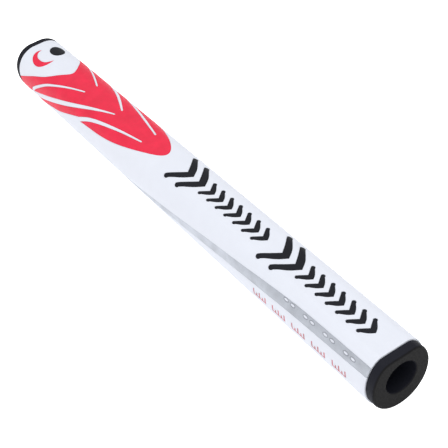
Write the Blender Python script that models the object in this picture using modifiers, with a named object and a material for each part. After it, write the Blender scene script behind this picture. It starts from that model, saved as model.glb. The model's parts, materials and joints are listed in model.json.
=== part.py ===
"""Oversize putter grip: a foam core tube with rubber end caps, wrapped in a printed polyurethane sheet.

The grip lies along X with its mouth at +X and its flat front up, and its back rests on z = 0.
The sheet, its backing and its print layers are modelled flat, as they are made: x runs along
the grip, y is the distance round it from the middle of the front, and z is the height over the
outer surface. Then they are bent round the section.
"""

import math

import bmesh
import bpy
import numpy as np

# Driving dimensions, in metres. Along the grip, x is 0 at the mouth face and -LENGTH at the butt.
LENGTH = 0.267
# The outer surface at each end: half width, bore axis to front, bore axis to back, half the width of
# the flat down the front, and the squareness of the corners beside it and of the back, where 2 is an
# ellipse and more is squarer
MOUTH_SECTION = (0.0144, 0.0121, 0.01555, 0.0062, 1.85, 2.05)
BUTT_SECTION = (0.0128, 0.0115, 0.01434, 0.0023, 2.08, 2.05)
BACK_DEPTH = MOUTH_SECTION[2]
BORE_RADIUS = 0.00735
GAP = 0.0003  # clearance between neighbouring pieces

# Layers of the wrap, from outside in
PRINT_THICKNESS = 0.00025
SKIN_THICKNESS = 0.001
BACKING_THICKNESS = 0.0005
POCKET_DEPTH = PRINT_THICKNESS + GAP
BACKING_TOP = SKIN_THICKNESS + GAP
BACKING_BOTTOM = BACKING_TOP + BACKING_THICKNESS
CORE_DEPTH = BACKING_BOTTOM + GAP
SEAM_HALF_WIDTH = 0.0005

# End caps
MOUTH_STEP = 0.0006  # how far the mouth cap's side lies inside the wrap's
BUTT_STEP = 0.0001
MOUTH_FLANGE = 0.0039
MOUTH_RIM = 0.00085
BUTT_FLANGE = 0.0044
BUTT_RIM = 0.0026
SPIGOT_RADIUS = 0.0083
SPIGOT_LENGTH = 0.008
PLUG_RADIUS = BORE_RADIUS - GAP
PLUG_LENGTH = 0.010
PLUG_WALL = 0.0015
VENT_RADIUS = 0.00125
BORE_CHAMFER = 0.0005

WRAP_MOUTH = -MOUTH_FLANGE - GAP
WRAP_BUTT = -LENGTH + BUTT_FLANGE + GAP

STATIONS = 40  # flats round the section
ROUND_SIDES = 48  # flats round a bore or a spigot
FLAT = 0.001  # radians between two faces that count as one
OVERLAP = 0.001  # how far a cutter, or a joined shape, runs past a face

# Materials: colour, roughness
WHITE_PU = ((0.82, 0.84, 0.90), 0.55)
RED_INK = ((0.88, 0.035, 0.08), 0.5)
DARK_INK = ((0.018, 0.02, 0.024), 0.5)
SILVER_INK = ((0.50, 0.52, 0.55), 0.35)
BLACK_RUBBER = ((0.025, 0.027, 0.032), 0.6)
FOAM = ((0.05, 0.05, 0.055), 0.9)
FELT = ((0.62, 0.62, 0.60), 0.95)


# --- The section ---------------------------------------------------------------------------


def quarter(width, depth, squareness):
    """A rounded quarter, as (y, z), from its top to its side."""
    for angle in np.linspace(math.pi / 2, 0, 501):
        cosine, sine = math.cos(angle), math.sin(angle)
        reach = (cosine**squareness + sine**squareness) ** (-1 / squareness)
        yield width * cosine * reach, depth * sine * reach


def section_outline(half_width, front_depth, back_depth, front_flat, corner_squareness, back_squareness):
    """The outer surface's section, as (y, z) from the bore axis, clockwise from the front's middle.

    The front is flat between two round corners, and the sides and the back are one round sweep.
    """
    corner = quarter(half_width - front_flat, front_depth, corner_squareness)
    back = [(y, -z) for y, z in quarter(half_width, back_depth, back_squareness)][::-1]
    right = [(0, front_depth), *[(front_flat + y, z) for y, z in corner], *back[1:]]
    left = [(-y, z) for y, z in reversed(right)]
    return np.array([*right, *left[1:]])


def section_stations(section):
    """The girth of a section, and points and normals at even steps round it from the front's middle."""
    fine = section_outline(*section)
    run = np.concatenate([[0], np.cumsum(np.hypot(*np.diff(fine, axis=0).T))])
    places = np.linspace(0, run[-1], STATIONS + 1)
    points = np.stack([np.interp(places, run, fine[:, i]) for i in (0, 1)], axis=1)
    turn = np.roll(points[:-1], -1, axis=0) - np.roll(points[:-1], 1, axis=0)
    turn /= np.hypot(*turn.T)[:, None]
    normals = np.stack([-turn[:, 1], turn[:, 0]], axis=1)
    return run[-1], points, np.concatenate([normals, normals[:1]])


GIRTH, MOUTH_POINTS, MOUTH_NORMALS = section_stations(MOUTH_SECTION)
BUTT_POINTS, BUTT_NORMALS = section_stations(BUTT_SECTION)[1:]
PLACES = np.linspace(0, GIRTH, STATIONS + 1)


def bent(x, girth_place, height):
    """Where a point of the flat sheet goes: (x, y, z) from the bore axis at the mouth face.

    The section passes evenly from the one at the mouth to the one at the butt.
    """
    share = -x / LENGTH
    points = MOUTH_POINTS + (BUTT_POINTS - MOUTH_POINTS) * share
    normals = MOUTH_NORMALS + (BUTT_NORMALS - MOUTH_NORMALS) * share
    place = girth_place % GIRTH
    y, z, normal_y, normal_z = (np.interp(place, PLACES, column) for column in (*points.T, *normals.T))
    return x, y + normal_y * height, z + normal_z * height


# --- Objects and materials -----------------------------------------------------------------


def clear_scene():
    for obj in list(bpy.data.objects):
        bpy.data.objects.remove(obj)


def new_collection(name):
    collection = bpy.data.collections.new(name)
    bpy.context.scene.collection.children.link(collection)
    return collection


def new_material(name, finish):
    colour, roughness = finish
    material = bpy.data.materials.new(name)
    material.use_nodes = True
    shader = material.node_tree.nodes["Principled BSDF"]
    shader.inputs["Base Color"].default_value = (*colour, 1)
    shader.inputs["Roughness"].default_value = roughness
    material.diffuse_color = (*colour, 1)
    return material


def new_object(name, mesh):
    obj = bpy.data.objects.new(name, mesh)
    PARTS.objects.link(obj)
    return obj


def baked(obj):
    """Gives the object the mesh that its modifiers make, and removes the modifiers."""
    bpy.context.view_layer.update()
    graph = bpy.context.evaluated_depsgraph_get()
    mesh = bpy.data.meshes.new_from_object(obj.evaluated_get(graph))
    obj.modifiers.clear()
    obj.data = mesh
    return obj


def as_mesh(curve_object):
    """A mesh object made from a curve object, with its caps welded on. The curve is removed."""
    bpy.context.view_layer.update()
    graph = bpy.context.evaluated_depsgraph_get()
    mesh = bpy.data.meshes.new_from_object(curve_object.evaluated_get(graph))
    obj = new_object(curve_object.name + "_mesh", mesh)
    obj.matrix_world = curve_object.matrix_world
    name = curve_object.name
    bpy.data.objects.remove(curve_object)
    obj.name = name
    edited = bmesh.new()
    edited.from_mesh(mesh)
    bmesh.ops.remove_doubles(edited, verts=edited.verts, dist=1e-6)
    bmesh.ops.dissolve_limit(edited, angle_limit=FLAT, verts=edited.verts, edges=edited.edges)
    bmesh.ops.recalc_face_normals(edited, faces=edited.faces)
    edited.to_mesh(mesh)
    edited.free()
    return obj


def moved(obj, function):
    """Moves each vertex of the object to function(its coordinates)."""
    for vertex in obj.data.vertices:
        vertex.co = function(*vertex.co)
    return obj


def boolean(obj, operation, other):
    modifier = obj.modifiers.new(operation.lower(), "BOOLEAN")
    modifier.operation = operation
    modifier.object = other
    modifier.solver = "EXACT"


def as_cutter(obj):
    """Puts the object with the cutters, which aren't parts."""
    PARTS.objects.unlink(obj)
    CUTTERS.objects.link(obj)
    obj.hide_render = True
    obj.display_type = "WIRE"
    return obj


def cut_flat(obj, cutters):
    """Cuts flat pieces, which don't touch one another, out of a flat piece, and removes them."""
    gathered = bmesh.new()
    for cutter in cutters:
        gathered.from_mesh(cutter.data)
    mesh = bpy.data.meshes.new(obj.name + "_cut")
    gathered.to_mesh(mesh)
    gathered.free()
    tool = new_object(mesh.name, mesh)
    boolean(obj, "DIFFERENCE", tool)
    baked(obj)
    for used in (*cutters, tool):
        bpy.data.objects.remove(used)
    return obj


def finished(obj, finish):
    """Hangs the part on the grip, gives it its material, and shades its round faces smooth."""
    obj.parent = GRIP
    obj.data.materials.clear()
    obj.data.materials.append(new_material(obj.name, finish))
    obj.data.shade_smooth()
    obj.data.set_sharp_from_angle(angle=math.radians(35))
    return obj


# --- Flat outlines and plates --------------------------------------------------------------


def smooth_path(knots, steps=4):
    """Points along a Catmull-Rom curve through the knots."""
    knots = np.array(knots, float)
    ends = 2 * knots[0] - knots[1], 2 * knots[-1] - knots[-2]
    chain = np.concatenate([[ends[0]], knots, [ends[1]]])
    points = []
    for before, start, end, after in zip(chain, chain[1:], chain[2:], chain[3:]):
        for t in np.arange(steps) / steps:
            pull = (end - before) * (t - 2 * t**2 + t**3) + (after - start) * (t**3 - t**2)
            points.append(start * (1 - 3 * t**2 + 2 * t**3) + end * (3 * t**2 - 2 * t**3) + pull / 2)
    return points + [knots[-1]]


def across_middle(knots):
    """Knots of an edge that is the same on both halves. The knots given start at the middle of the front."""
    return [(x, -y) for x, y in reversed(knots[1:])] + list(knots)


def grown(outline, distance):
    """The outline, counterclockwise, moved outwards by a distance. Sharp tips move by at most twice that."""
    points = np.array(outline, float)
    ahead = np.roll(points, -1, axis=0) - points
    ahead /= np.hypot(*ahead.T)[:, None]
    out = np.stack([ahead[:, 1], -ahead[:, 0]], axis=1)
    both = out + np.roll(out, 1, axis=0)
    share = np.maximum((both**2).sum(axis=1) / 2, 0.5)
    return points + both * (distance / share)[:, None]


def counterclockwise(outline):
    points = np.array(outline, float)
    turn = points[:, 0] * np.roll(points[:, 1], -1) - points[:, 1] * np.roll(points[:, 0], -1)
    return points if turn.sum() > 0 else points[::-1]


def oval(x, y, length, width, sides=12):
    angles = np.linspace(0, 2 * math.pi, sides, endpoint=False)
    return [(x + length / 2 * math.cos(a), y + width / 2 * math.sin(a)) for a in angles]


def stroke(knots, start_width, end_width):
    """Outline of a curved stroke along the knots. It starts round, widens evenly and ends square."""
    line = np.array(smooth_path(knots))
    ahead = np.gradient(line, axis=0)
    ahead /= np.hypot(*ahead.T)[:, None]
    side = np.stack([-ahead[:, 1], ahead[:, 0]], axis=1)
    half = np.linspace(start_width, end_width, len(line))[:, None] / 2
    tip = line[0] - ahead[0] * start_width / 2
    return [*(line + side * half), *(line - side * half)[::-1], tip]


def plate(name, outline, bottom, top):
    """A flat plate with that outline, between two heights."""
    curve = bpy.data.curves.new(name, "CURVE")
    curve.dimensions = "2D"
    curve.fill_mode = "BOTH"
    curve.extrude = (top - bottom) / 2
    points = counterclockwise(outline)
    spline = curve.splines.new("POLY")
    spline.points.add(len(points) - 1)
    for point, (x, y) in zip(spline.points, points):
        point.co = (x, y, 0, 1)
    spline.use_cyclic_u = True
    obj = as_mesh(new_object(name, curve))
    return moved(obj, lambda x, y, z: (x, y, z + (top + bottom) / 2))


def rectangle(x_low, x_high, y_low, y_high):
    return [(x_low, y_low), (x_high, y_low), (x_high, y_high), (x_low, y_high)]


def bend_round(obj):
    """Slices a flat piece at each station it crosses, and bends it round the section."""
    edited = bmesh.new()
    edited.from_mesh(obj.data)
    bmesh.ops.dissolve_limit(edited, angle_limit=FLAT, verts=edited.verts, edges=edited.edges)
    for turn in (-1, 0):
        for place in PLACES[1:] if turn else PLACES:
            geometry = [*edited.verts, *edited.edges, *edited.faces]
            middle = (0, place + turn * GIRTH, 0)
            bmesh.ops.bisect_plane(edited, geom=geometry, plane_co=middle, plane_no=(0, 1, 0), dist=1e-7)
    bmesh.ops.triangulate(edited, faces=edited.faces)
    edited.to_mesh(obj.data)
    edited.free()
    return moved(obj, bent)


# --- Artwork, all of it flat ---------------------------------------------------------------

MM = 0.001


def scaled(points):
    return [(x * MM, y * MM) for x, y in points]


def panel_outline():
    """The red panel: pointed towards the mouth, leaf-shaped down each side, and open round the emblem."""
    end = WRAP_BUTT / MM + 1.2
    front = [(-150.3, 0), (-154.9, 5.2), (-169.2, 11.0), (-185.3, 15.1), (-204.4, 17.2)]
    leaf = [(-207, 15.8), (-215.5, 19.1), (-224.7, 22.9), (-236.7, 26.6), (-250.5, 32.3), (end, 37.6)]
    field = [(-229.7, 0), (-233.8, 6.4), (-240.2, 11.6), (-249.4, 16.2), (end, 21.9)]
    right = [*smooth_path(leaf), *reversed(smooth_path(across_middle(field)))]
    left = [(x, -y) for x, y in reversed(smooth_path(leaf))]
    return scaled([*smooth_path(across_middle(front)), *right, *left])


def vein_outlines(side):
    """The white veins that part the red panel's leaves, on one side of the front's middle."""
    lines = (
        ([(-165.2, 4.0), (-181.2, 7.7), (-198.2, 12.7), (-211.6, 20.0)], 1.0, 2.6),
        ([(-189.8, 2.2), (-200, 7.2), (-214, 13.2), (-231, 19.8), (-246, 26), (-267, 36.4)], 1.0, 4.0),
        ([(-213.5, 3.7), (-231, 11.6), (-239, 15.9), (-249, 23.5), (-250.8, 27.8)], 1.0, 2.0),
    )
    for knots, start_width, end_width in lines:
        yield scaled(stroke([(x, y * side) for x, y in knots], start_width, end_width))


def silver_outline(side):
    """The silver band: a point at mid-length that widens and runs in towards the front at the mouth."""
    end = WRAP_MOUTH / MM - 1.0
    inner = [(-168, 27.4), (-140, 23.0), (-105, 18.4), (-80, 15.9), (-60, 13.9), (-40, 12.6), (end, 11.9)]
    outer = [(-168, 28.1), (-140, 26.0), (-105, 22.1), (-80, 19.9), (-50, 17.8), (-20, 16.6), (end, 16.1)]
    edge = [*smooth_path(inner), *reversed(smooth_path(outer))]
    return scaled([(x, y * side) for x, y in edge])


def silver_ovals(side):
    """Pairs of small ovals left open in the silver band, near the mouth."""
    for pair in range(4):
        for x in (-52.3 + pair * 11.8, -48.3 + pair * 11.8):
            yield scaled(oval(x, 14.1 * side, 2.6, 1.1))


def half_and_mirror(half):
    """The whole outline of a shape that is the same on both halves. A half starts and ends on the middle."""
    return [*half, *[(x, -y) for x, y in reversed(half)][1:-1]]


def half_circle(start, end, steps=5):
    """The points between start and end, counterclockwise, on the circle whose diameter joins them."""
    middle, spoke = (start + end) / 2, (start - end) / 2
    for angle in np.linspace(0, math.pi, steps + 1)[1:-1]:
        yield middle + spoke * math.cos(angle) + np.array([-spoke[1], spoke[0]]) * math.sin(angle)


def chevron(tip_x, height, sweep, thickness):
    """A chevron that points towards the mouth. Its arms curve back, thin out and end round."""
    reach = height / 2
    outer = [(tip_x, 0), (tip_x - 0.38 * sweep, 0.5 * reach), (tip_x - sweep, reach)]
    inner = [
        (tip_x - thickness, 0),
        (tip_x - 0.38 * sweep - 0.95 * thickness, 0.44 * reach),
        (tip_x - sweep - 0.6 * thickness, 0.92 * reach),
    ]
    outer, inner = smooth_path(outer), smooth_path(inner)
    return half_and_mirror([*outer, *half_circle(outer[-1], inner[-1]), *reversed(inner)])


def front_chevrons():
    """Two groups down the front: a pair of tall chevrons, and then a row of short ones."""
    for group, start in enumerate((-143.5, -78.5), start=1):
        for index in range(2):
            tip = start + 13 + index * 8.2
            yield f"front_chevron_{group}_tall_{index + 1}", scaled(chevron(tip, 16.8, 8.2, 4.2))
        for index in range(7):
            tip = start + 28 + index * 6.05
            yield f"front_chevron_{group}_short_{index + 1}", scaled(chevron(tip, 8.4, 4.1, 3.0))


def side_scales(side):
    """Rows of long and short ticks on a base line, below the silver band: each row's outline and slots."""
    top, short_top, base, bottom = 21.6, 22.9, 24.4, 25.2
    tick, pitch, ticks = 0.8, 1.8, 5
    for index in range(5):
        start = -71.5 + index * 12.2
        row = rectangle(start, start + (ticks - 1) * pitch + tick, top * side, bottom * side)
        slots = []
        for count in range(1, ticks):
            right = start + count * pitch
            slots.append(scaled(rectangle(right - pitch + tick, right, (top - 1) * side, base * side)))
            if count % 2:
                above = rectangle(right - 0.2, right + tick + 0.2, (top - 1) * side, short_top * side)
                slots.append(scaled(above))
        yield scaled(row), slots


def emblem_crescent():
    """A red crescent whose back faces the left-hand side."""
    radius, thickness, spread = 6.2, 3.7, math.radians(115)
    rim, inside = [], []
    for turn in np.linspace(-spread, spread, 21):
        inner = radius - thickness * math.cos(turn / spread * math.pi / 2)
        rim.append((-250.8 + radius * math.sin(turn), -4.2 - radius * math.cos(turn)))
        inside.append((-250.8 + inner * math.sin(turn), -4.2 - inner * math.cos(turn)))
    return scaled([*rim, *inside[-2:0:-1]])


def emblem_dot():
    return scaled(oval(-250.8, 4.4, 8.4, 7.6, sides=20))


# --- Parts ---------------------------------------------------------------------------------


def print_layer(name, outline, finish, openings=()):
    """A flat print, and the wider pocket for it in the skin, which openings in the print leave as it is."""
    outline = counterclockwise(outline)
    layer = plate(name, outline, -PRINT_THICKNESS, 0)
    for hole in openings:
        cut_flat(layer, [plate(f"{name}_opening", hole, -OVERLAP, OVERLAP)])
    pocket = plate(f"{name}_pocket", grown(outline, GAP), -POCKET_DEPTH, OVERLAP)
    finished(bend_round(layer), finish)
    return pocket


def make_prints():
    """Every print layer. Returns the pockets, still flat."""
    veins = [outline for side in (1, -1) for outline in vein_outlines(side)]
    pockets = [print_layer("red_panel", panel_outline(), RED_INK, veins)]
    pockets.append(print_layer("emblem_crescent", emblem_crescent(), RED_INK))
    pockets.append(print_layer("emblem_dot", emblem_dot(), DARK_INK))
    for name, outline in front_chevrons():
        pockets.append(print_layer(name, outline, DARK_INK))
    for word, side in (("right", 1), ("left", -1)):
        holes = list(silver_ovals(side))
        pockets.append(print_layer(f"silver_band_{word}", silver_outline(side), SILVER_INK, holes))
        for index, (outline, slots) in enumerate(side_scales(side), start=1):
            pockets.append(print_layer(f"side_scale_{word}_{index}", outline, RED_INK, slots))
    return pockets


def make_skin(pockets):
    """The white polyurethane sheet. Its long edges meet at the seam bead along the back."""
    reach = GIRTH / 2 - SEAM_HALF_WIDTH - GAP
    skin = plate("wrap_skin", rectangle(WRAP_BUTT, WRAP_MOUTH, -reach, reach), -SKIN_THICKNESS, 0)
    finished(bend_round(cut_flat(skin, pockets)), WHITE_PU)


def make_seam_bead():
    edges = GIRTH / 2 - SEAM_HALF_WIDTH, GIRTH / 2 + SEAM_HALF_WIDTH
    bead = plate("seam_bead", rectangle(WRAP_BUTT, WRAP_MOUTH, *edges), -SKIN_THICKNESS, 0)
    finished(bend_round(bead), WHITE_PU)


def make_backing():
    """The felt on the back of the sheet."""
    reach = GIRTH / 2 - GAP
    outline = rectangle(WRAP_BUTT, WRAP_MOUTH, -reach, reach)
    backing = plate("wrap_backing", outline, -BACKING_BOTTOM, -BACKING_TOP)
    finished(bend_round(backing), FELT)


def section_prism(name, depth, x_low, x_high):
    """A solid between two places along the grip, whose side lies a depth under the outer surface."""
    edited = bmesh.new()
    low, high = ([edited.verts.new(bent(x, y, -depth)) for y in PLACES[:-1]] for x in (x_low, x_high))
    edited.faces.new(low)
    edited.faces.new(high)
    for i in range(STATIONS):
        edited.faces.new((low[i - 1], low[i], high[i], high[i - 1]))
    bmesh.ops.recalc_face_normals(edited, faces=edited.faces)
    mesh = bpy.data.meshes.new(name)
    edited.to_mesh(mesh)
    edited.free()
    return new_object(name, mesh)


def turned(name, profile):
    """A solid of revolution about the bore axis. The profile is a list of (x, radius)."""
    mesh = bpy.data.meshes.new(name)
    edited = bmesh.new()
    corners = [edited.verts.new((x, radius, 0)) for x, radius in profile]
    for start, end in zip(corners, corners[1:]):
        edited.edges.new((start, end))
    edited.to_mesh(mesh)
    edited.free()
    obj = new_object(name, mesh)
    screw = obj.modifiers.new("turn", "SCREW")
    screw.axis = "X"
    screw.steps = ROUND_SIDES
    screw.render_steps = ROUND_SIDES
    screw.use_merge_vertices = True
    screw.merge_threshold = 1e-5
    baked(obj)
    edited = bmesh.new()
    edited.from_mesh(obj.data)
    bmesh.ops.remove_doubles(edited, verts=edited.verts, dist=1e-6)
    bmesh.ops.recalc_face_normals(edited, faces=edited.faces)
    edited.to_mesh(obj.data)
    edited.free()
    return obj


def cylinder(name, radius, x_low, x_high):
    return turned(name, [(x_low, 0), (x_low, radius), (x_high, radius), (x_high, 0)])


def bevel_rim(obj, face_x, width):
    """Rounds the rim of a cap's end face, where it meets the side."""
    edited = bmesh.new()
    edited.from_mesh(obj.data)
    rim = [edge for edge in edited.edges if all(abs(v.co.x - face_x) < 1e-5 for v in edge.verts)]
    bmesh.ops.bevel(edited, geom=rim, offset=width, segments=3, profile=0.5, affect="EDGES")
    edited.to_mesh(obj.data)
    edited.free()


def make_core():
    """The foam tube that fits over the shaft. The mouth cap's spigot sits in its counterbore."""
    core = section_prism("core_tube", CORE_DEPTH, WRAP_BUTT, WRAP_MOUTH)
    counterbore = WRAP_MOUTH - SPIGOT_LENGTH
    profile = [
        (WRAP_BUTT - OVERLAP, 0),
        (WRAP_BUTT - OVERLAP, BORE_RADIUS),
        (counterbore, BORE_RADIUS),
        (counterbore, SPIGOT_RADIUS + GAP),
        (WRAP_MOUTH + OVERLAP, SPIGOT_RADIUS + GAP),
        (WRAP_MOUTH + OVERLAP, 0),
    ]
    bore = as_cutter(turned("core_bore", profile))
    bore.parent = GRIP
    boolean(core, "DIFFERENCE", bore)
    finished(core, FOAM)


def make_mouth_cap():
    """The rubber cap at the mouth: a flange just inside the wrap's outline, and a spigot inside the core."""
    cap = section_prism("mouth_cap", MOUTH_STEP, -MOUTH_FLANGE, 0)
    bevel_rim(cap, 0, MOUTH_RIM)
    spigot_end = -MOUTH_FLANGE - SPIGOT_LENGTH
    spigot = as_cutter(cylinder("mouth_spigot", SPIGOT_RADIUS, spigot_end, -MOUTH_FLANGE / 2))
    profile = [
        (spigot_end - OVERLAP, 0),
        (spigot_end - OVERLAP, BORE_RADIUS),
        (-BORE_CHAMFER, BORE_RADIUS),
        (OVERLAP, BORE_RADIUS + BORE_CHAMFER + OVERLAP),
        (OVERLAP, 0),
    ]
    bore = as_cutter(turned("mouth_bore", profile))
    for operation, other in (("UNION", spigot), ("DIFFERENCE", bore)):
        other.parent = GRIP
        boolean(cap, operation, other)
    finished(cap, BLACK_RUBBER)


def make_butt_cap():
    """The rubber cap that closes the butt: a flange, a hollow plug in the bore, and a vent hole."""
    cap = section_prism("butt_cap", BUTT_STEP, -LENGTH, -LENGTH + BUTT_FLANGE)
    bevel_rim(cap, -LENGTH, BUTT_RIM)
    inner_face = -LENGTH + BUTT_FLANGE
    plug = as_cutter(cylinder("butt_plug", PLUG_RADIUS, inner_face - OVERLAP, inner_face + PLUG_LENGTH))
    hollow_end = inner_face + PLUG_LENGTH + OVERLAP
    profile = [
        (-LENGTH - OVERLAP, 0),
        (-LENGTH - OVERLAP, VENT_RADIUS),
        (inner_face, VENT_RADIUS),
        (inner_face, PLUG_RADIUS - PLUG_WALL),
        (hollow_end, PLUG_RADIUS - PLUG_WALL),
        (hollow_end, 0),
    ]
    hollow = as_cutter(turned("butt_hollow", profile))
    for operation, other in (("UNION", plug), ("DIFFERENCE", hollow)):
        other.parent = GRIP
        boolean(cap, operation, other)
    finished(cap, BLACK_RUBBER)


clear_scene()
PARTS = new_collection("golf_grip")
CUTTERS = new_collection("golf_grip_cutters")
GRIP = bpy.data.objects.new("grip_axis", None)
PARTS.objects.link(GRIP)
GRIP.location = (LENGTH / 2, 0, BACK_DEPTH)

make_core()
make_mouth_cap()
make_butt_cap()
make_backing()
make_seam_bead()
make_skin(make_prints())
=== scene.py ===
"""Looks of the putter grip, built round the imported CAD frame.

The printed wrap is modelled flat, as it is made, and then bent round the section: in the flat
sheet x runs along the grip, y is the distance round it from the middle of the front, and z is the
height over the outer surface. Artwork is laid out in millimetres from the mouth face.
"""

import json
import math

import bmesh
import bpy
import numpy as np
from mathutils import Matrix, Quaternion, Vector


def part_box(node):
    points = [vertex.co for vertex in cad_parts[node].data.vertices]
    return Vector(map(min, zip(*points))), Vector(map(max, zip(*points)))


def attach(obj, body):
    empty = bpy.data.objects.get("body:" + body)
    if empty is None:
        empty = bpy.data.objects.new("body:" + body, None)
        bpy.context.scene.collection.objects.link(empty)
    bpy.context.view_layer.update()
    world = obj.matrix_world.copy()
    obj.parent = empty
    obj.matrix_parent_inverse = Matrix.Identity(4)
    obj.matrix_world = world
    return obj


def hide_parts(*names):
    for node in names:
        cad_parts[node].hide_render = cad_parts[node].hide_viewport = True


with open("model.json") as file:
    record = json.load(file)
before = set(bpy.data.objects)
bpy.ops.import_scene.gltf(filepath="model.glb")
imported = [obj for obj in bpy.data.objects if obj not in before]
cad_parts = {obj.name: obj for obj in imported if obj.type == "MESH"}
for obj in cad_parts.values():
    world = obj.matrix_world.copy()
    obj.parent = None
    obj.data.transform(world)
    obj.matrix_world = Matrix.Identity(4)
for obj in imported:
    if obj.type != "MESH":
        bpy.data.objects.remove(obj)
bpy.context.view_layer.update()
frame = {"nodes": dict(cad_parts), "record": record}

MM = 0.001
BODY = "root"

# --- The section and its size, from the frame ----------------------------------------------

MOUTH_STEP = 0.6  # how far the mouth cap's side lies inside the wrap's
BUTT_STEP = 0.1
STATIONS = 216  # flats round the section
QUARTER_POINTS = 1501  # along a rounded quarter, before it is cut into stations
SLICE = 4.0  # between cuts along the grip
OVERLAP = 1.0  # how far a cutter runs past what it cuts

mouth_low, mouth_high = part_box("mouth_cap")
butt_low, butt_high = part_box("butt_cap")
skin_low, skin_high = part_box("wrap_skin")
bore_low, bore_high = frame["record"]["physics"]["openings"][0]["box_m"]

MOUTH_X = mouth_high.x
AXIS_Z = (bore_low[2] + bore_high[2]) / 2
LENGTH = (mouth_high.x - butt_low.x) / MM
WRAP_MOUTH = (skin_high.x - MOUTH_X) / MM
WRAP_BUTT = (skin_low.x - MOUTH_X) / MM


def wrap_size(low, high, step):
    """The wrap's half width and its depths in front of and behind the bore axis, from a cap's box."""
    return [size / MM + step for size in (high.y, high.z - AXIS_Z, AXIS_Z - low.z)]


mouth_size = wrap_size(mouth_low, mouth_high, MOUTH_STEP)
joint_size = wrap_size(butt_low, butt_high, BUTT_STEP)  # where the butt cap meets the wrap
butt_size = [start + (end - start) * LENGTH / -WRAP_BUTT for start, end in zip(mouth_size, joint_size)]

# Then half the width of the flat down the front, and the squareness of the corners beside it and of
# the back, where 2 is an ellipse and more is squarer
MOUTH_SECTION = (*mouth_size, 6.2, 1.85, 2.05)
BUTT_SECTION = (*butt_size, 2.3, 2.08, 2.05)


def quarter(width, depth, squareness):
    """A rounded quarter, as (y, z), from its top to its side."""
    for angle in np.linspace(math.pi / 2, 0, QUARTER_POINTS):
        cosine, sine = math.cos(angle), math.sin(angle)
        reach = (cosine**squareness + sine**squareness) ** (-1 / squareness)
        yield width * cosine * reach, depth * sine * reach


def section_outline(half_width, front_depth, back_depth, front_flat, corner_squareness, back_squareness):
    """The wrap's section, as (y, z) from the bore axis, clockwise from the front's middle.

    The front is flat between two round corners, and the sides and the back are one round sweep.
    """
    corner = quarter(half_width - front_flat, front_depth, corner_squareness)
    back = [(y, -z) for y, z in quarter(half_width, back_depth, back_squareness)][::-1]
    right = [(0, front_depth), *[(front_flat + y, z) for y, z in corner], *back[1:]]
    left = [(-y, z) for y, z in reversed(right)]
    return np.array([*right, *left[1:]])


def section_stations(section):
    """The girth of a section, and points and normals at even steps round it from the front's middle."""
    fine = section_outline(*section)
    run = np.concatenate([[0], np.cumsum(np.hypot(*np.diff(fine, axis=0).T))])
    places = np.linspace(0, run[-1], STATIONS + 1)
    points = np.stack([np.interp(places, run, fine[:, i]) for i in (0, 1)], axis=1)
    turn = np.roll(points[:-1], -1, axis=0) - np.roll(points[:-1], 1, axis=0)
    turn /= np.hypot(*turn.T)[:, None]
    normals = np.stack([-turn[:, 1], turn[:, 0]], axis=1)
    return run[-1], points, np.concatenate([normals, normals[:1]])


GIRTH, MOUTH_POINTS, MOUTH_NORMALS = section_stations(MOUTH_SECTION)
BUTT_POINTS, BUTT_NORMALS = section_stations(BUTT_SECTION)[1:]
PLACES = np.linspace(0, GIRTH, STATIONS + 1)


def bent(x, place, height):
    """Where points of the flat sheet go. The mouth's section passes evenly into the butt's."""
    share = -x / LENGTH
    wrapped = place % GIRTH

    def at(mouth, butt):
        return np.interp(wrapped, PLACES, mouth) * (1 - share) + np.interp(wrapped, PLACES, butt) * share

    y, z = map(at, MOUTH_POINTS.T, BUTT_POINTS.T)
    normal_y, normal_z = map(at, MOUTH_NORMALS.T, BUTT_NORMALS.T)
    y, z = y + normal_y * height, z + normal_z * height
    return np.stack([MOUTH_X + x * MM, y * MM, AXIS_Z + z * MM], axis=-1)


EDGE_ROLL = 0.45  # radius to which the wrap's ends roll down
EDGE_DROP = 0.85  # share of that radius by which they drop


def edge_roll(x):
    """How far the wrap's surface has rolled down at x, close to its ends."""
    from_end = np.minimum(WRAP_MOUTH - x, x - WRAP_BUTT)
    short = np.clip(1 - from_end / EDGE_ROLL, 0, 1)
    return EDGE_ROLL * (1 - np.sqrt(1 - short**2)) * EDGE_DROP


def bend(mesh):
    """Bends a flat mesh, in mm, round the section."""
    flat = np.empty(len(mesh.vertices) * 3, np.float32)
    mesh.vertices.foreach_get("co", flat)
    x, place, height = flat.reshape(-1, 3).astype(float).T
    points = bent(x, place, height - edge_roll(x))
    mesh.vertices.foreach_set("co", points.astype(np.float32).ravel())
    mesh.update()


# --- Flat outlines -------------------------------------------------------------------------


def smooth_path(knots, steps=14):
    """Points along a Catmull-Rom curve through the knots."""
    knots = np.array(knots, float)
    chain = np.concatenate([[2 * knots[0] - knots[1]], knots, [2 * knots[-1] - knots[-2]]])
    points = []
    for before, start, end, after in zip(chain, chain[1:], chain[2:], chain[3:]):
        for t in np.arange(steps) / steps:
            pull = (end - before) * (t - 2 * t**2 + t**3) + (after - start) * (t**3 - t**2)
            points.append(start * (1 - 3 * t**2 + 2 * t**3) + end * (3 * t**2 - 2 * t**3) + pull / 2)
    return points + [knots[-1]]


def across_middle(knots):
    """Knots of an edge that is the same on both halves. Those given start at the front's middle."""
    return [(x, -y) for x, y in reversed(knots[1:])] + list(knots)


def counterclockwise(outline):
    """The outline's points, in counterclockwise order."""
    points = np.array(outline, float)
    turn = points[:, 0] * np.roll(points[:, 1], -1) - points[:, 1] * np.roll(points[:, 0], -1)
    return points if turn.sum() > 0 else points[::-1]


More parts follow.
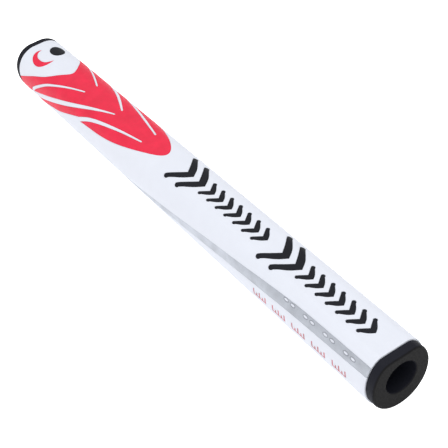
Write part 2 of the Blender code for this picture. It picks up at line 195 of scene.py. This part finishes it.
def grown(outline, distance):
    """The counterclockwise outline, moved outwards by a distance, or up to twice that at sharp tips."""
    points = np.array(outline, float)
    ahead = np.roll(points, -1, axis=0) - points
    ahead /= np.hypot(*ahead.T)[:, None]
    out = np.stack([ahead[:, 1], -ahead[:, 0]], axis=1)
    both = out + np.roll(out, 1, axis=0)
    share = np.maximum((both**2).sum(axis=1) / 2, 0.5)
    return points + both * (distance / share)[:, None]


def oval(x, y, length, width, sides=28):
    angles = np.linspace(0, 2 * math.pi, sides, endpoint=False)
    return [(x + length / 2 * math.cos(a), y + width / 2 * math.sin(a)) for a in angles]


def stroke(knots, start_width, end_width):
    """Outline of a curved stroke along the knots. It starts round, widens evenly and ends square."""
    line = np.array(smooth_path(knots))
    ahead = np.gradient(line, axis=0)
    ahead /= np.hypot(*ahead.T)[:, None]
    side = np.stack([-ahead[:, 1], ahead[:, 0]], axis=1)
    half = np.linspace(start_width, end_width, len(line))[:, None] / 2
    tip = line[0] - ahead[0] * start_width / 2
    return [*(line + side * half), *(line - side * half)[::-1], tip]


def rectangle(x_low, x_high, y_low, y_high):
    return [(x_low, y_low), (x_high, y_low), (x_high, y_high), (x_low, y_high)]


def panel_outline():
    """The red panel: pointed towards the mouth, leaf-edged down each side, and open round the emblem."""
    end = WRAP_BUTT
    front = [(-150.3, 0), (-154.9, 5.2), (-169.2, 11.0), (-185.3, 15.1), (-204.4, 17.2)]
    leaf = [(-207, 15.8), (-215.5, 19.1), (-224.7, 22.9), (-236.7, 26.6), (-250.5, 32.3), (end, 38.2)]
    field = [(-229.7, 0), (-233.8, 6.4), (-240.2, 11.6), (-249.4, 16.2), (end, 23.2)]
    right = [*smooth_path(leaf), *reversed(smooth_path(across_middle(field)))]
    left = [(x, -y) for x, y in reversed(smooth_path(leaf))]
    return [*smooth_path(across_middle(front)), *right, *left]


def vein_outlines(side):
    """The white veins that part the red panel's leaves, on one side of the front's middle."""
    lines = (
        ([(-165.2, 4.0), (-181.2, 7.7), (-198.2, 12.7), (-211.6, 20.0)], 1.0, 2.6),
        ([(-189.8, 2.2), (-200, 7.2), (-214, 13.2), (-231, 19.8), (-246, 26), (-267, 36.4)], 1.0, 4.0),
        ([(-213.5, 3.7), (-231, 11.6), (-239, 15.9), (-249, 23.5), (-250.8, 27.8)], 1.0, 2.0),
    )
    for knots, start_width, end_width in lines:
        yield stroke([(x, y * side) for x, y in knots], start_width, end_width)


def silver_outline(side):
    """The silver band: a point at mid-length that widens and runs in towards the front at the mouth."""
    end = WRAP_MOUTH
    inner = [(-168, 27.4), (-140, 23.0), (-105, 18.4), (-80, 15.9), (-60, 13.9), (-40, 12.6), (end, 11.9)]
    outer = [(-168, 28.1), (-140, 26.0), (-105, 22.1), (-80, 19.9), (-50, 17.8), (-20, 16.6), (end, 16.1)]
    edge = [*smooth_path(inner), *reversed(smooth_path(outer))]
    return [(x, y * side) for x, y in edge]


def silver_ovals(side):
    """Pairs of small ovals left open in the silver band, near the mouth."""
    first, pair_pitch, pair_spacing = -52.3, 11.8, 4.0
    for pair in range(4):
        for index in range(2):
            x = first + pair * pair_pitch + index * pair_spacing
            yield counterclockwise(oval(x, 14.1 * side, 2.5, 1.1))


def half_and_mirror(half):
    """The whole outline, from a half that starts and ends on the middle."""
    return [*half, *[(x, -y) for x, y in reversed(half)][1:-1]]


def half_circle(start, end, steps=12):
    """The points between start and end, counterclockwise, on the circle whose diameter joins them."""
    middle, spoke = (start + end) / 2, (start - end) / 2
    for angle in np.linspace(0, math.pi, steps + 1)[1:-1]:
        yield middle + spoke * math.cos(angle) + np.array([-spoke[1], spoke[0]]) * math.sin(angle)


def chevron(tip_x, height, sweep, thickness):
    """A chevron that points towards the mouth. Its arms curve back, thin out and end round."""
    reach = height / 2
    outer = [(tip_x, 0), (tip_x - 0.38 * sweep, 0.5 * reach), (tip_x - sweep, reach)]
    inner = [
        (tip_x - thickness, 0),
        (tip_x - 0.38 * sweep - 0.95 * thickness, 0.44 * reach),
        (tip_x - sweep - 0.6 * thickness, 0.92 * reach),
    ]
    outer, inner = smooth_path(outer), smooth_path(inner)
    return half_and_mirror([*outer, *half_circle(outer[-1], inner[-1]), *reversed(inner)])


def front_chevrons():
    """Two groups down the front: a pair of tall chevrons, and then a row of short ones."""
    tall_pitch, short_pitch = 8.2, 6.05
    for group, start in enumerate((-143.5, -78.5), start=1):
        for index in range(2):
            tip = start + 13 + index * tall_pitch
            yield f"front_chevron_{group}_tall_{index + 1}", chevron(tip, 16.8, 8.2, 4.2)
        for index in range(7):
            tip = start + 28 + index * short_pitch
            yield f"front_chevron_{group}_short_{index + 1}", chevron(tip, 8.4, 4.1, 3.0)


def side_scales(side):
    """Rows of long and short ticks on a base line, below the silver band: each row's outline and slots."""
    top, short_top, base, bottom = 21.7, 23.0, 24.5, 25.0
    tick, pitch, ticks = 0.55, 1.85, 5
    past_top = top - OVERLAP
    for index in range(5):
        start = -71.5 + index * 12.2
        row = rectangle(start, start + (ticks - 1) * pitch + tick, top * side, bottom * side)
        slots = []
        for count in range(1, ticks):
            left = start + count * pitch
            slots.append(rectangle(left - pitch + tick, left, past_top * side, base * side))
            if count % 2:
                slots.append(rectangle(left - 0.2, left + tick + 0.2, past_top * side, short_top * side))
        yield row, slots


EMBLEM_X = -250.8


def emblem_crescent():
    """A red crescent whose back faces the left-hand side."""
    y, radius, thickness, spread = -4.2, 6.2, 3.7, math.radians(115)
    rim, inside = [], []
    for turn in np.linspace(-spread, spread, 41):
        inner = radius - thickness * math.cos(turn / spread * math.pi / 2)
        rim.append((EMBLEM_X + radius * math.sin(turn), y - radius * math.cos(turn)))
        inside.append((EMBLEM_X + inner * math.sin(turn), y - inner * math.cos(turn)))
    return [*rim, *inside[-2:0:-1]]


def emblem_dot():
    return oval(EMBLEM_X, 4.4, 8.4, 7.6, sides=48)


# --- Building flat and bending -------------------------------------------------------------

FLAT = 0.001  # radians between two faces that count as one
SKIN_THICKNESS = 1.0
POCKET_DEPTH = 0.3  # of the hollows in the skin that the prints lie in
POCKET_MARGIN = 0.12  # from a print's edge to its pocket's
PRINT_TOP = -0.03
PRINT_BOTTOM = -0.12


def plate(name, outline, bottom, top):
    """A flat plate with that outline, between two heights, as a mesh object."""
    curve = bpy.data.curves.new(name, "CURVE")
    curve.dimensions = "2D"
    curve.fill_mode = "BOTH"
    curve.extrude = (top - bottom) / 2
    points = counterclockwise(outline)
    spline = curve.splines.new("POLY")
    spline.points.add(len(points) - 1)
    for point, (x, y) in zip(spline.points, points):
        point.co = (x, y, 0, 1)
    spline.use_cyclic_u = True
    shape = bpy.data.objects.new(name, curve)
    bpy.context.scene.collection.objects.link(shape)
    graph = bpy.context.evaluated_depsgraph_get()
    mesh = bpy.data.meshes.new_from_object(shape.evaluated_get(graph))
    bpy.data.objects.remove(shape)
    edited = bmesh.new()
    edited.from_mesh(mesh)
    bmesh.ops.remove_doubles(edited, verts=edited.verts, dist=1e-4)
    bmesh.ops.dissolve_limit(edited, angle_limit=FLAT, verts=edited.verts, edges=edited.edges)
    bmesh.ops.translate(edited, verts=edited.verts, vec=(0, 0, (top + bottom) / 2))
    bmesh.ops.recalc_face_normals(edited, faces=edited.faces)
    edited.to_mesh(mesh)
    edited.free()
    return new_object(name, mesh)


def new_object(name, mesh):
    obj = bpy.data.objects.new(name, mesh)
    bpy.context.scene.collection.objects.link(obj)
    return obj


def gathered(name, pieces):
    """One object made of pieces that don't touch one another. The pieces are removed."""
    together = bmesh.new()
    for piece in pieces:
        together.from_mesh(piece.data)
        bpy.data.objects.remove(piece)
    mesh = bpy.data.meshes.new(name)
    together.to_mesh(mesh)
    together.free()
    return new_object(name, mesh)


def cut_flat(obj, cutters):
    """Cuts flat pieces, which don't touch one another, out of a flat piece, and removes them."""
    tool = gathered(obj.name + "_cut", cutters)
    modifier = obj.modifiers.new("cut", "BOOLEAN")
    modifier.operation = "DIFFERENCE"
    modifier.solver = "EXACT"
    modifier.object = tool
    graph = bpy.context.evaluated_depsgraph_get()
    mesh = bpy.data.meshes.new_from_object(obj.evaluated_get(graph))
    obj.modifiers.clear()
    obj.data = mesh
    bpy.data.objects.remove(tool)
    return obj


def sliced_and_bent(obj):
    """Slices a flat piece along and across, and bends it round the section."""
    edited = bmesh.new()
    edited.from_mesh(obj.data)
    bmesh.ops.dissolve_limit(edited, angle_limit=FLAT, verts=edited.verts, edges=edited.edges)
    corners = np.array([vertex.co for vertex in edited.verts])
    low, high = corners.min(axis=0), corners.max(axis=0)
    rolled = EDGE_ROLL * (1 - np.cos(np.linspace(0, math.pi / 2, 6)[1:]))
    cuts = [*(WRAP_MOUTH - rolled), *(WRAP_BUTT + rolled), *np.arange(WRAP_BUTT + 2, WRAP_MOUTH - 2, SLICE)]
    lengthwise = [(y, 1) for y in [*(PLACES - GIRTH), *PLACES[1:]] if low[1] < y < high[1]]
    crosswise = [(x, 0) for x in cuts if low[0] < x < high[0]]
    for place, axis in [*crosswise, *lengthwise]:
        middle, normal = [0, 0, 0], [0, 0, 0]
        middle[axis] = place
        normal[axis] = 1
        geometry = [*edited.verts, *edited.edges, *edited.faces]
        bmesh.ops.bisect_plane(edited, geom=geometry, plane_co=middle, plane_no=normal, dist=1e-5)
    bmesh.ops.triangulate(edited, faces=edited.faces)
    edited.to_mesh(obj.data)
    edited.free()
    bend(obj.data)
    return obj


def finished(obj, name, material):
    """Smooths the piece, gives it its material, and lets it stand for the CAD node of that name, if any."""
    obj.name = name + "_fine"
    obj.data.materials.clear()
    obj.data.materials.append(material)
    obj.data.shade_smooth()
    obj.data.set_sharp_from_angle(angle=math.radians(32))
    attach(obj, BODY)
    if name in frame["nodes"]:
        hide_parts(name)


# --- Materials -----------------------------------------------------------------------------


class Look:
    """A Principled material being built, with small helpers for its nodes."""

    def __init__(self, name, colour, roughness):
        self.material = bpy.data.materials.new(name)
        self.material.use_nodes = True
        self.tree = self.material.node_tree
        self.shader = self.tree.nodes["Principled BSDF"]
        self.set(self.shader, "Base Color", (*colour, 1))
        self.set(self.shader, "Roughness", roughness)
        coordinates = self.tree.nodes.new("ShaderNodeTexCoord")
        self.position = coordinates.outputs["Object"]
        self.normal = coordinates.outputs["Normal"]

    def set(self, node, socket, value):
        node.inputs[socket].default_value = value

    def link(self, output, node, socket):
        self.tree.links.new(output, node.inputs[socket])

    def part_of(self, vector, letter):
        """One coordinate of a vector: X, Y or Z."""
        node = self.tree.nodes.new("ShaderNodeSeparateXYZ")
        self.link(vector, node, "Vector")
        return node.outputs[letter]

    def noise(self, size_mm, detail=3.0, stretch=(1, 1, 1)):
        """Noise whose lumps are about that size."""
        mapping = self.tree.nodes.new("ShaderNodeMapping")
        self.set(mapping, "Scale", tuple(s / (size_mm * MM) for s in stretch))
        self.link(self.position, mapping, "Vector")
        node = self.tree.nodes.new("ShaderNodeTexNoise")
        self.set(node, "Scale", 1.0)
        self.set(node, "Detail", detail)
        self.link(mapping.outputs[0], node, "Vector")
        return node.outputs["Fac"]

    def pebbles(self, size_mm):
        """Rounded cells of about that size: 0 in their creases and more on their tops."""
        mapping = self.tree.nodes.new("ShaderNodeMapping")
        self.set(mapping, "Scale", (1 / (size_mm * MM),) * 3)
        self.link(self.position, mapping, "Vector")
        node = self.tree.nodes.new("ShaderNodeTexVoronoi")
        node.feature = "DISTANCE_TO_EDGE"
        self.set(node, "Scale", 1.0)
        self.link(mapping.outputs[0], node, "Vector")
        return node.outputs["Distance"]

    def spread(self, value, low, high, from_low=0.3, from_high=0.7):
        """The value, mapped on to low..high."""
        node = self.tree.nodes.new("ShaderNodeMapRange")
        self.set(node, "From Min", from_low)
        self.set(node, "From Max", from_high)
        self.set(node, "To Min", low)
        self.set(node, "To Max", high)
        self.link(value, node, "Value")
        return node.outputs["Result"]

    def tint(self, value, dark, light):
        """Colours the surface from dark to light by the value, 0 to 1."""
        node = self.tree.nodes.new("ShaderNodeMix")
        node.data_type = "RGBA"
        colour_a, colour_b, mixed = node.inputs[6], node.inputs[7], node.outputs[2]
        colour_a.default_value = (*dark, 1)
        colour_b.default_value = (*light, 1)
        self.link(value, node, "Factor")
        self.link(mixed, self.shader, "Base Color")

    def brighten(self, factor, start_x, end_x):
        """Scales the surface's colour along the grip, from 1 at one place to the factor at another."""
        along = self.spread(self.part_of(self.position, "X"), 1.0, factor, start_x, end_x)
        node = self.tree.nodes.new("ShaderNodeVectorMath")
        node.operation = "SCALE"
        self.link(self.shader.inputs["Base Color"].links[0].from_socket, node, "Vector")
        self.link(along, node, "Scale")
        self.link(node.outputs["Vector"], self.shader, "Base Color")

    def roughen(self, value, low, high):
        self.link(self.spread(value, low, high), self.shader, "Roughness")

    def bump(self, *layers):
        """Layers of relief, each (value, height in mm)."""
        normal = None
        for value, height in layers:
            node = self.tree.nodes.new("ShaderNodeBump")
            self.set(node, "Distance", height * MM)
            self.link(value, node, "Height")
            if normal is not None:
                self.link(normal, node, "Normal")
            normal = node.outputs["Normal"]
        self.link(normal, self.shader, "Normal")


def shade(colour, factor):
    """The colour, made darker or lighter."""
    return tuple(min(1.0, channel * factor) for channel in colour)


def wrap_look(name, colour, roughness, variation, shine=0.4):
    """Polyurethane sheet or the ink on it: a fine pebble grain, and a slight mottle in colour and gloss."""
    look = Look(name, colour, roughness)
    mottle = look.noise(6.0, detail=4.0)
    speckle = look.noise(0.45, detail=2.0)
    both = look.tree.nodes.new("ShaderNodeMath")
    both.operation = "MULTIPLY_ADD"
    look.link(speckle, both, 0)
    look.set(both, 1, 0.5)
    look.link(look.spread(mottle, 0.0, 0.5), both, 2)
    look.tint(both.outputs[0], shade(colour, 1 - variation), shade(colour, 1 + variation))
    look.roughen(speckle, roughness - 0.07, roughness + 0.07)
    look.bump((look.pebbles(0.55), 0.05), (look.noise(0.2), 0.02), (mottle, 0.08))
    look.set(look.shader, "Specular IOR Level", shine)
    return look


def silver_material():
    """Silver-grey ink, a little metallic, whose colour is made up to 1.17 times lighter towards the band's
    tip, between 50 and 100 mm from the mouth.
    """
    look = wrap_look("silver_ink", (0.50, 0.53, 0.59), 0.42, 0.25)
    look.set(look.shader, "Metallic", 0.25)
    look.brighten(1.17, MOUTH_X - 0.05, MOUTH_X - 0.1)
    return look.material


def rubber_material():
    """Black rubber. Where the surface turns away from facing the mouth end, as on the caps' moulded sides,
    it is painted a little lighter and bluer than where it faces that way: a painted bluish sheen of the
    lamps.
    """
    # side is the rubber with a painted bluish sheen, for surfaces that don't face the mouth end; face is
    # the plain rubber
    side, face = (0.0130, 0.0140, 0.0210), (0.0070, 0.0070, 0.0078)
    look = Look("black_rubber", face, 0.6)
    look.tint(look.spread(look.part_of(look.normal, "X"), 0.0, 1.0, 0.4, 0.8), side, face)
    look.roughen(look.noise(0.8), 0.5, 0.66)
    look.bump((look.noise(0.25, detail=4.0), 0.03), (look.noise(2.5), 0.05))
    look.set(look.shader, "Specular IOR Level", 0.12)
    return look.material


def foam_material():
    """Black closed-cell foam, with painted shade in the creases between its cells and painted light on
    their tops.
    """
    colour = (0.016, 0.016, 0.017)
    look = Look("foam", colour, 0.9)
    cells = look.pebbles(0.5)
    # painted shade in the creases between the cells, painted light on the cell tops
    look.tint(look.spread(cells, 0.0, 1.0, 0.0, 0.25), shade(colour, 0.5), shade(colour, 1.5))
    look.bump((cells, 0.15))
    return look.material


def felt_material():
    """Pale felt with its fibres along the grip."""
    colour = (0.62, 0.62, 0.60)
    look = Look("felt", colour, 0.95)
    fibres = look.noise(0.3, detail=6.0, stretch=(0.2, 1, 1))
    look.tint(look.spread(fibres, 0.0, 1.0), shade(colour, 0.8), shade(colour, 1.1))
    look.set(look.shader, "Sheen Weight", 0.4)
    look.bump((fibres, 0.12))
    return look.material


# --- Wrap and prints -----------------------------------------------------------------------

OVAL_RIM = 0.28  # width of the darker grey ring round each oval, painted shadow of the raised ovals
RIM_GAP = 0.03  # between that line and the silver


def oval_rims(word, ovals, material):
    """Darker grey rings round the ovals of one silver band: painted shadow of the raised ovals."""
    rims = []
    for outline in ovals:
        rim = plate("rim", grown(outline, OVAL_RIM), PRINT_BOTTOM, PRINT_TOP)
        rims.append(cut_flat(rim, [plate("opening", outline, -OVERLAP, OVERLAP)]))
    finished(sliced_and_bent(gathered("rims", rims)), f"oval_rims_{word}", material)


def print_layer(node, outline, material, openings=(), islands=None):
    """A print, bent in place, and its pocket in the skin, still flat.

    The skin stands up in the print's openings, all over them unless smaller islands are given.
    """
    outline = counterclockwise(outline)
    layer = plate(node + "_flat", outline, PRINT_BOTTOM, PRINT_TOP)
    pocket = plate(node + "_pocket", grown(outline, POCKET_MARGIN), -POCKET_DEPTH, OVERLAP)
    for hole in openings:
        cut_flat(layer, [plate("opening", hole, -OVERLAP, OVERLAP)])
    for island in islands or openings:
        smaller = grown(counterclockwise(island), -POCKET_MARGIN)
        cut_flat(pocket, [plate("opening", smaller, -OVERLAP, 2 * OVERLAP)])
    finished(sliced_and_bent(layer), node, material)
    return pocket


def make_prints():
    """Every print layer. Returns the pockets, still flat."""
    faded = wrap_look("faded_red_ink", (0.62, 0.13, 0.17), 0.5, 0.5).material
    red = wrap_look("red_ink", (0.95, 0.017, 0.064), 0.5, 0.2).material
    dark = wrap_look("dark_ink", (0.008, 0.009, 0.014), 0.48, 0.25, shine=0.2).material
    # grey of the rings round the silver ovals: painted shadow of the raised ovals
    painted_shade_grey = wrap_look("painted_shade_grey", (0.33, 0.35, 0.40), 0.45, 0.16).material
    silver = silver_material()
    veins = [outline for side in (1, -1) for outline in vein_outlines(side)]
    pockets = [
        print_layer("red_panel", panel_outline(), red, veins),
        print_layer("emblem_crescent", emblem_crescent(), red),
        print_layer("emblem_dot", emblem_dot(), dark),
    ]
    for name, outline in front_chevrons():
        pockets.append(print_layer(name, outline, dark))
    for word, side in (("right", 1), ("left", -1)):
        ovals = list(silver_ovals(side))
        oval_rims(word, ovals, painted_shade_grey)
        holes = [grown(outline, OVAL_RIM + RIM_GAP) for outline in ovals]
        band = silver_outline(side)
        pockets.append(print_layer(f"silver_band_{word}", band, silver, holes, ovals))
        for index, (outline, slots) in enumerate(side_scales(side), start=1):
            pockets.append(print_layer(f"side_scale_{word}_{index}", outline, faded, slots))
    return pockets


SEAM_HALF_WIDTH = 0.5
SEAM_GAP = 0.06
SEAM_TOP = -0.04


def make_wrap():
    """The skin with its prints' pockets, and the bead that fills its seam down the back."""
    white = wrap_look("white_polyurethane", (0.83, 0.86, 0.945), 0.5, 0.02).material
    half = GIRTH / 2
    reach = half - SEAM_HALF_WIDTH - SEAM_GAP
    skin = plate("skin_flat", rectangle(WRAP_BUTT, WRAP_MOUTH, -reach, reach), -SKIN_THICKNESS, 0)
    cut_flat(skin, make_prints())
    finished(sliced_and_bent(skin), "wrap_skin", white)
    edges = half - SEAM_HALF_WIDTH, half + SEAM_HALF_WIDTH
    bead = plate("bead_flat", rectangle(WRAP_BUTT, WRAP_MOUTH, *edges), -SKIN_THICKNESS, SEAM_TOP)
    finished(sliced_and_bent(bead), "seam_bead", white)


# --- Caps and core: lofts through rings ----------------------------------------------------

DIRECTIONS = np.arctan2(MOUTH_POINTS[:-1, 1], MOUTH_POINTS[:-1, 0])  # of the stations, from the axis


def section_ring(x, depth):
    """A ring a depth under the wrap's outer surface."""
    return bent(np.full(STATIONS, x), PLACES[:-1], np.full(STATIONS, -depth))


def round_ring(x, radius):
    """A circle about the bore axis, with its points in the same directions as the section's."""
    y, z = np.cos(DIRECTIONS) * radius * MM, np.sin(DIRECTIONS) * radius * MM
    return np.stack(np.broadcast_arrays(MOUTH_X + x * MM, y, AXIS_Z + z), axis=1)


def between(ring, other, shares):
    """Rings at shares of the way from one ring to another."""
    return [ring + (other - ring) * share for share in shares]


def arc(centre, radius, start, end, steps=7):
    """(x, y) along an arc, between two angles in degrees."""
    for angle in np.radians(np.linspace(start, end, steps)):
        yield centre[0] + radius * math.cos(angle), centre[1] + radius * math.sin(angle)


def loft(name, rings):
    """A closed surface through the rings, the last one joined to the first."""
    count = len(rings[0])
    edited = bmesh.new()
    loops = [[edited.verts.new(point) for point in ring] for ring in rings]
    for loop, following in zip(loops, loops[1:] + loops[:1]):
        for i in range(count):
            j = (i + 1) % count
            edited.faces.new((loop[i], loop[j], following[j], following[i]))
    bmesh.ops.recalc_face_normals(edited, faces=edited.faces)
    mesh = bpy.data.meshes.new(name)
    edited.to_mesh(mesh)
    edited.free()
    return new_object(name, mesh)


BORE_RADIUS = 7.35
SPIGOT_RADIUS = 8.3
CAP_GAP = 0.06  # the line between a cap and the wrap
CAP_BEVEL = 0.2  # on a cap's edge beside that line


def make_mouth_cap(material):
    """The flange with its rounded rim, the face, the bore's rounded lip, and the spigot."""
    joint = WRAP_MOUTH + CAP_GAP
    rim, lip = 0.95, 0.5
    spigot_end = (mouth_low.x - MOUTH_X) / MM
    rings = [section_ring(joint, MOUTH_STEP + CAP_BEVEL), section_ring(joint + CAP_BEVEL, MOUTH_STEP)]
    rings += [section_ring(x, MOUTH_STEP - y) for x, y in arc((-rim, -rim), rim, 90, 0)]
    rings += between(rings[-1], round_ring(0, BORE_RADIUS + lip), (0.06, 0.3, 0.6, 0.9, 0.97))
    rings += [round_ring(x, radius) for x, radius in arc((-lip, BORE_RADIUS + lip), lip, 0, -90)]
    spigot = [(spigot_end, BORE_RADIUS), (spigot_end, SPIGOT_RADIUS), (joint, SPIGOT_RADIUS)]
    rings += [round_ring(x, radius) for x, radius in spigot]
    finished(loft("mouth_cap_loft", rings), "mouth_cap", material)


def make_butt_cap(material):
    """The flange with its rounded rim, a shallow groove round the face, the vent, and the hollow plug."""
    end, joint = -LENGTH, WRAP_BUTT - CAP_GAP
    rim, vent, plug, wall = 2.7, 1.25, 7.05, 1.5
    plug_end = (butt_high.x - MOUTH_X) / MM
    groove = [(end, 6.4), (end + 0.3, 6.2), (end + 0.3, 5.6), (end, 5.4)]
    vent_mouth = [(end, vent + 1.5), (end, vent + 0.3), (end + 0.3, vent)]
    plug_inside = [(joint, vent), (joint, plug - wall), (plug_end, plug - wall)]
    plug_outside = [(plug_end, plug), (joint, plug)]
    rings = [section_ring(joint, BUTT_STEP + CAP_BEVEL), section_ring(joint - CAP_BEVEL, BUTT_STEP)]
    rings += [section_ring(x, BUTT_STEP - y) for x, y in arc((end + rim, -rim), rim, 90, 180, steps=12)]
    rings += between(rings[-1], round_ring(*groove[0]), (0.08, 0.5, 0.9, 0.97))
    rings += [round_ring(x, r) for x, r in (*groove, *vent_mouth, *plug_inside, *plug_outside)]
    finished(loft("butt_cap_loft", rings), "butt_cap", material)


def make_core():
    """The foam tube, with a counterbore for the mouth cap's spigot."""
    low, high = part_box("core_tube")
    start, end = (low.x - MOUTH_X) / MM, (high.x - MOUTH_X) / MM
    wrap_depth, gap = 2.1, 0.3
    step = (mouth_low.x - MOUTH_X) / MM - gap
    rings = [section_ring(x, wrap_depth) for x in np.linspace(start, end, 40)]
    rings += [round_ring(x, SPIGOT_RADIUS + gap) for x in (end, step)]
    rings += [round_ring(x, BORE_RADIUS) for x in np.linspace(step, start, 30)]
    finished(loft("core_loft", rings), "core_tube", foam_material())


def dress_backing():
    """The backing is out of sight under the skin, so it keeps its CAD mesh."""
    materials = frame["nodes"]["wrap_backing"].data.materials
    materials.clear()
    materials.append(felt_material())


# --- Stage ---------------------------------------------------------------------------------

CAMERA_TARGET = (24.2 * MM, -0.7 * MM, AXIS_Z)
CAMERA_DISTANCE = 0.5382
CAMERA_AZIMUTH = 58.06
CAMERA_ELEVATION = 42.44
CAMERA_ROLL = -6.04
CAMERA_LENS = 103.8


def make_camera():
    """Looks at the grip's mouth half from its front and left, turned a little about the line of sight."""
    azimuth, elevation = math.radians(CAMERA_AZIMUTH), math.radians(CAMERA_ELEVATION)
    back = Vector((
        math.sin(azimuth) * math.cos(elevation),
        -math.cos(azimuth) * math.cos(elevation),
        math.sin(elevation),
    ))
    camera = bpy.data.objects.new("camera", bpy.data.cameras.new("camera"))
    bpy.context.scene.collection.objects.link(camera)
    camera.data.lens = CAMERA_LENS
    camera.data.clip_start = 0.01
    camera.location = Vector(CAMERA_TARGET) + back * CAMERA_DISTANCE
    camera.rotation_mode = "QUATERNION"
    roll = Quaternion((0, 0, 1), math.radians(CAMERA_ROLL))
    camera.rotation_quaternion = (-back).to_track_quat("-Z", "Y") @ roll
    bpy.context.scene.camera = camera


def make_floor():
    """A plain white floor. It glows a little, and more to the camera, so that it looks plain white."""
    edited = bmesh.new()
    bmesh.ops.create_grid(edited, x_segments=1, y_segments=1, size=6.0)
    mesh = bpy.data.meshes.new("floor")
    edited.to_mesh(mesh)
    edited.free()
    floor = new_object("floor", mesh)
    floor.location.z = -0.0001
    look = Look("floor", (0.86, 0.86, 0.86), 0.9)
    look.set(look.shader, "Specular IOR Level", 0.0)
    look.set(look.shader, "Emission Color", (1, 1, 1, 1))
    path = look.tree.nodes.new("ShaderNodeLightPath")
    glow = look.spread(path.outputs["Is Camera Ray"], 0.34, 1.2, 0.0, 1.0)
    look.link(glow, look.shader, "Emission Strength")
    mesh.materials.append(look.material)


def make_light(name, location, size, power):
    """A square soft box that faces the grip."""
    lamp = bpy.data.lights.new(name, "AREA")
    lamp.size = size
    lamp.energy = power
    obj = bpy.data.objects.new(name, lamp)
    bpy.context.scene.collection.objects.link(obj)
    obj.location = location
    obj.rotation_mode = "QUATERNION"
    obj.rotation_quaternion = (-Vector(location)).to_track_quat("-Z", "Y")


def make_world():
    """Even white light from all round, which looks plain white to the camera."""
    world = bpy.data.worlds.new("studio")
    world.use_nodes = True
    tree = world.node_tree
    background = tree.nodes["Background"]
    background.inputs["Color"].default_value = (1, 1, 1, 1)
    path = tree.nodes.new("ShaderNodeLightPath")
    strength = tree.nodes.new("ShaderNodeMapRange")
    strength.inputs["To Min"].default_value = 0.62
    strength.inputs["To Max"].default_value = 1.2
    tree.links.new(path.outputs["Is Camera Ray"], strength.inputs["Value"])
    tree.links.new(strength.outputs["Result"], background.inputs["Strength"])
    bpy.context.scene.world = world


def make_stage():
    make_camera()
    make_floor()
    make_light("top", (0.1, -0.1, 1.4), size=1.2, power=9.0)
    make_light("mouth_side", (1.2, -0.5, 0.7), size=0.9, power=0.6)
    make_light("left_side", (-0.2, -1.2, 0.6), size=0.9, power=0.3)
    make_world()
    bpy.context.scene.view_settings.view_transform = "Standard"


make_wrap()
rubber = rubber_material()
make_mouth_cap(rubber)
make_butt_cap(rubber)
make_core()
dress_backing()
make_stage()
